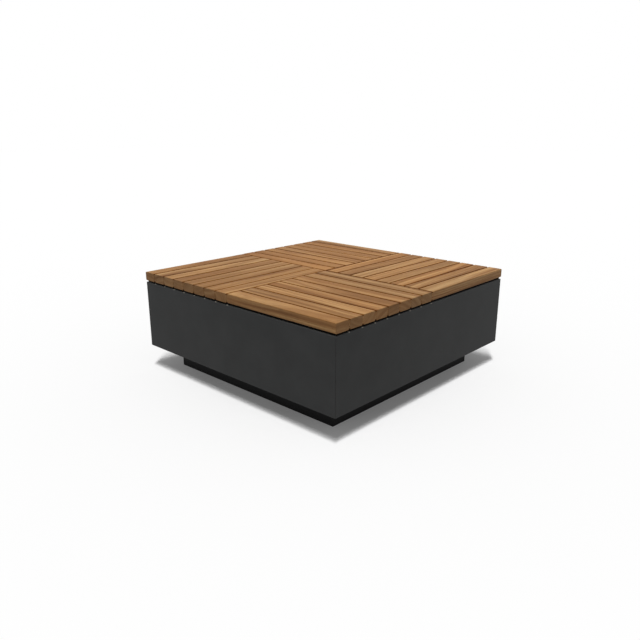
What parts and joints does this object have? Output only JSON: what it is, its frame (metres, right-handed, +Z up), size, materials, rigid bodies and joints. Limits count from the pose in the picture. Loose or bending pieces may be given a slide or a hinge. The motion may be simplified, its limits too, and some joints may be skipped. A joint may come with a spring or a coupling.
{
  "type": "square slatted seat",
  "caption": "Low square seat for all sides: hardwood slats in basket weave fields on a folded steel body with a recessed plinth and levelling feet.",
  "frame": {"origin": "on the floor, in the middle of the square plinth", "axes": "+Z up; the square's sides lie along X and Y, with the front panel facing -Y and the right panel facing +X"},
  "size_m": [1.2045, 1.2045, 0.472],
  "materials": {
    "hardwood": "oiled hardwood with fine straight grain",
    "body_paint": "fine matt anthracite powder coat",
    "plinth_paint": "matt black powder coat",
    "frame_steel": "dull galvanised steel",
    "batten_paint": "matt black powder coat",
    "stud_steel": "stainless steel",
    "pad_plastic": "black moulded nylon"
  },
  "bodies": {
    "root": {"slat_front_left_1": "hardwood", "slat_front_left_2": "hardwood", "slat_front_left_3": "hardwood", "slat_front_left_4": "hardwood", "slat_front_left_5": "hardwood", "slat_front_left_6": "hardwood", "slat_front_left_7": "hardwood", "slat_front_left_8": "hardwood", "slat_front_right_1": "hardwood", "slat_front_right_2": "hardwood", "slat_front_right_3": "hardwood", "slat_front_right_4": "hardwood", "slat_front_right_5": "hardwood", "slat_front_right_6": "hardwood", "slat_front_right_7": "hardwood", "slat_front_right_8": "hardwood", "slat_back_right_1": "hardwood", "slat_back_right_2": "hardwood", "slat_back_right_3": "hardwood", "slat_back_right_4": "hardwood", "slat_back_right_5": "hardwood", "slat_back_right_6": "hardwood", "slat_back_right_7": "hardwood", "slat_back_right_8": "hardwood", "slat_back_left_1": "hardwood", "slat_back_left_2": "hardwood", "slat_back_left_3": "hardwood", "slat_back_left_4": "hardwood", "slat_back_left_5": "hardwood", "slat_back_left_6": "hardwood", "slat_back_left_7": "hardwood", "slat_back_left_8": "hardwood", "batten_front_left_outer": "batten_paint", "batten_front_left_inner": "batten_paint", "batten_front_right_outer": "batten_paint", "batten_front_right_inner": "batten_paint", "batten_back_right_outer": "batten_paint", "batten_back_right_inner": "batten_paint", "batten_back_left_outer": "batten_paint", "batten_back_left_inner": "batten_paint", "front_panel": "body_paint", "right_panel": "body_paint", "back_panel": "body_paint", "left_panel": "body_paint", "inner_frame": "frame_steel", "cross_beam": "frame_steel", "leg_front": "frame_steel", "leg_right": "frame_steel", "leg_back": "frame_steel", "leg_left": "frame_steel", "plinth": "plinth_paint"},
    "pad_front_left": {"foot_pad_front_left": "pad_plastic"},
    "pad_front_right": {"foot_pad_front_right": "pad_plastic"},
    "pad_back_right": {"foot_pad_back_right": "pad_plastic"},
    "pad_back_left": {"foot_pad_back_left": "pad_plastic"},
    "stud_front_left": {"foot_stud_front_left": "stud_steel"},
    "stud_front_right": {"foot_stud_front_right": "stud_steel"},
    "stud_back_right": {"foot_stud_back_right": "stud_steel"},
    "stud_back_left": {"foot_stud_back_left": "stud_steel"}
  },
  "joints": [
    {"name": "pad_front_left_travel", "type": "slide", "parent": "root", "child": "pad_front_left", "axis": [0, 0, -1], "range_m": [0, 0.01]},
    {"name": "pad_front_right_travel", "type": "slide", "parent": "root", "child": "pad_front_right", "axis": [0, 0, -1], "range_m": [0, 0.01]},
    {"name": "pad_back_right_travel", "type": "slide", "parent": "root", "child": "pad_back_right", "axis": [0, 0, -1], "range_m": [0, 0.01]},
    {"name": "pad_back_left_travel", "type": "slide", "parent": "root", "child": "pad_back_left", "axis": [0, 0, -1], "range_m": [0, 0.01]},
    {"name": "stud_front_left_turn", "type": "hinge", "parent": "pad_front_left", "child": "stud_front_left", "pos_m": [-0.44825, -0.44825, 0.05], "axis": [0, 0, -1], "range_deg": [0, 1800]},
    {"name": "stud_front_right_turn", "type": "hinge", "parent": "pad_front_right", "child": "stud_front_right", "pos_m": [0.44825, -0.44825, 0.05], "axis": [0, 0, -1], "range_deg": [0, 1800]},
    {"name": "stud_back_right_turn", "type": "hinge", "parent": "pad_back_right", "child": "stud_back_right", "pos_m": [0.44825, 0.44825, 0.05], "axis": [0, 0, -1], "range_deg": [0, 1800]},
    {"name": "stud_back_left_turn", "type": "hinge", "parent": "pad_back_left", "child": "stud_back_left", "pos_m": [-0.44825, 0.44825, 0.05], "axis": [0, 0, -1], "range_deg": [0, 1800]}
  ],
  "couplings": [
    {"joint": "stud_front_left_turn", "follows": "pad_front_left_travel", "rad_per_m": 3141.6},
    {"joint": "stud_front_right_turn", "follows": "pad_front_right_travel", "rad_per_m": 3141.6},
    {"joint": "stud_back_right_turn", "follows": "pad_back_right_travel", "rad_per_m": 3141.6},
    {"joint": "stud_back_left_turn", "follows": "pad_back_left_travel", "rad_per_m": 3141.6}
  ]
}
